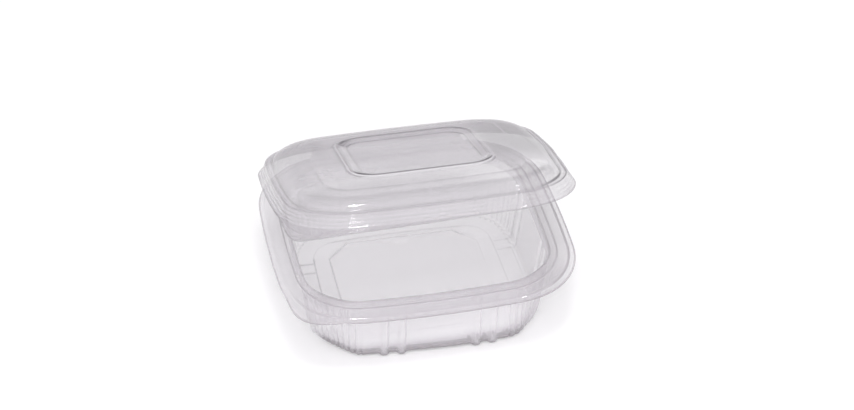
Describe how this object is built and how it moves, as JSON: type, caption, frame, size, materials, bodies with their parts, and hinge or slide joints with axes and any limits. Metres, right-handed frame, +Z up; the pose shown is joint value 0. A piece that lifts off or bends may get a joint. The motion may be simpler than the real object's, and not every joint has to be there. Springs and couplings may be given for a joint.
{
  "type": "hinged takeaway meal container",
  "caption": "Clear square thermoformed takeaway container, empty, with a domed lid standing part open on a folded hinge strip along its back",
  "frame": {"origin": "on the table, under the middle of the whole object's box as it stands with the lid part open", "axes": "+Z up, -Y the front where the lid opens, +Y the hinge side, +X to the right seen from the front"},
  "size_m": [0.1402, 0.1332, 0.0888],
  "materials": {
    "tray": "clear smooth thermoformed plastic sheet with a faint grey-lilac cast",
    "lid": "clear smooth thermoformed plastic sheet with a faint grey-lilac cast"
  },
  "bodies": {
    "base": {"tray": "tray"},
    "cover": {"lid": "lid"}
  },
  "joints": [
    {"name": "lid_hinge", "type": "hinge", "parent": "base", "child": "cover", "pos_m": [0, 0.0667, 0.0358], "axis": [-1, 0, 0], "range_deg": [-20.2, 150]}
  ]
}
